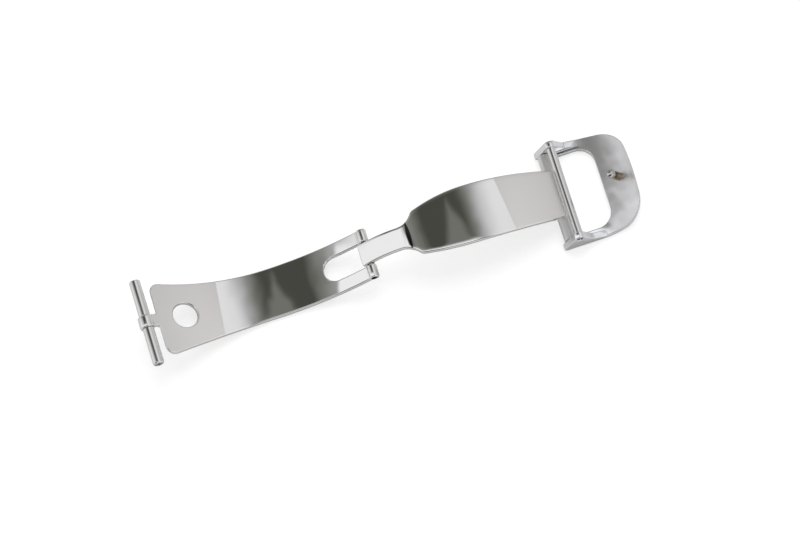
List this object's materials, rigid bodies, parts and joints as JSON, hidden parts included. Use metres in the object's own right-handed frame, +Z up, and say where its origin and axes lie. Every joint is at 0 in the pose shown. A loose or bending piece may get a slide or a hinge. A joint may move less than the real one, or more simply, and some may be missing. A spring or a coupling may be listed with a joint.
{
  "type": "deployant clasp",
  "caption": "Single-fold strap clasp: two bowed blades joined by a fork hinge, a turning strap bar at one end and a dished buckle frame with a ball-headed stud at the other.",
  "frame": {"origin": "bottom centre of the open clasp, on the surface that it lies on", "axes": "+X along the clasp from the strap end bar to the buckle, +Y across it, +Z up"},
  "size_m": [0.089, 0.0186, 0.0084],
  "materials": {
    "polished_metal": "mirror polish with satin ends",
    "satin_metal": "fine satin",
    "bar_metal": "turned and polished",
    "pin_steel": "turned",
    "stud_metal": "polished"
  },
  "bodies": {
    "inner": {"blade_b": "polished_metal", "pivot_barrel": "satin_metal"},
    "outer": {"blade_a": "polished_metal", "hinge_pin": "pin_steel"},
    "end_bar": {"end_bar_screw": "pin_steel", "end_bar_sleeve_front": "bar_metal", "end_bar_sleeve_rear": "bar_metal"},
    "buckle": {"buckle_frame": "satin_metal", "pivot_pin": "pin_steel", "strap_bar": "bar_metal", "bar_screw_front": "pin_steel", "bar_screw_rear": "pin_steel", "strap_stud": "stud_metal"}
  },
  "joints": [
    {"name": "blade_fold", "type": "hinge", "parent": "inner", "child": "outer", "pos_m": [-0.00339, 0, 0.00464], "axis": [0, 1, 0], "range_deg": [0, 175]},
    {"name": "buckle_pivot", "type": "hinge", "parent": "inner", "child": "buckle", "pos_m": [0.03048, 0, 0.0014], "axis": [0, 1, 0], "range_deg": [0, 165]},
    {"name": "end_bar_spin", "type": "hinge", "parent": "outer", "child": "end_bar", "pos_m": [-0.04318, 0, 0.0068], "axis": [0, 1, 0], "continuous": true}
  ]
}
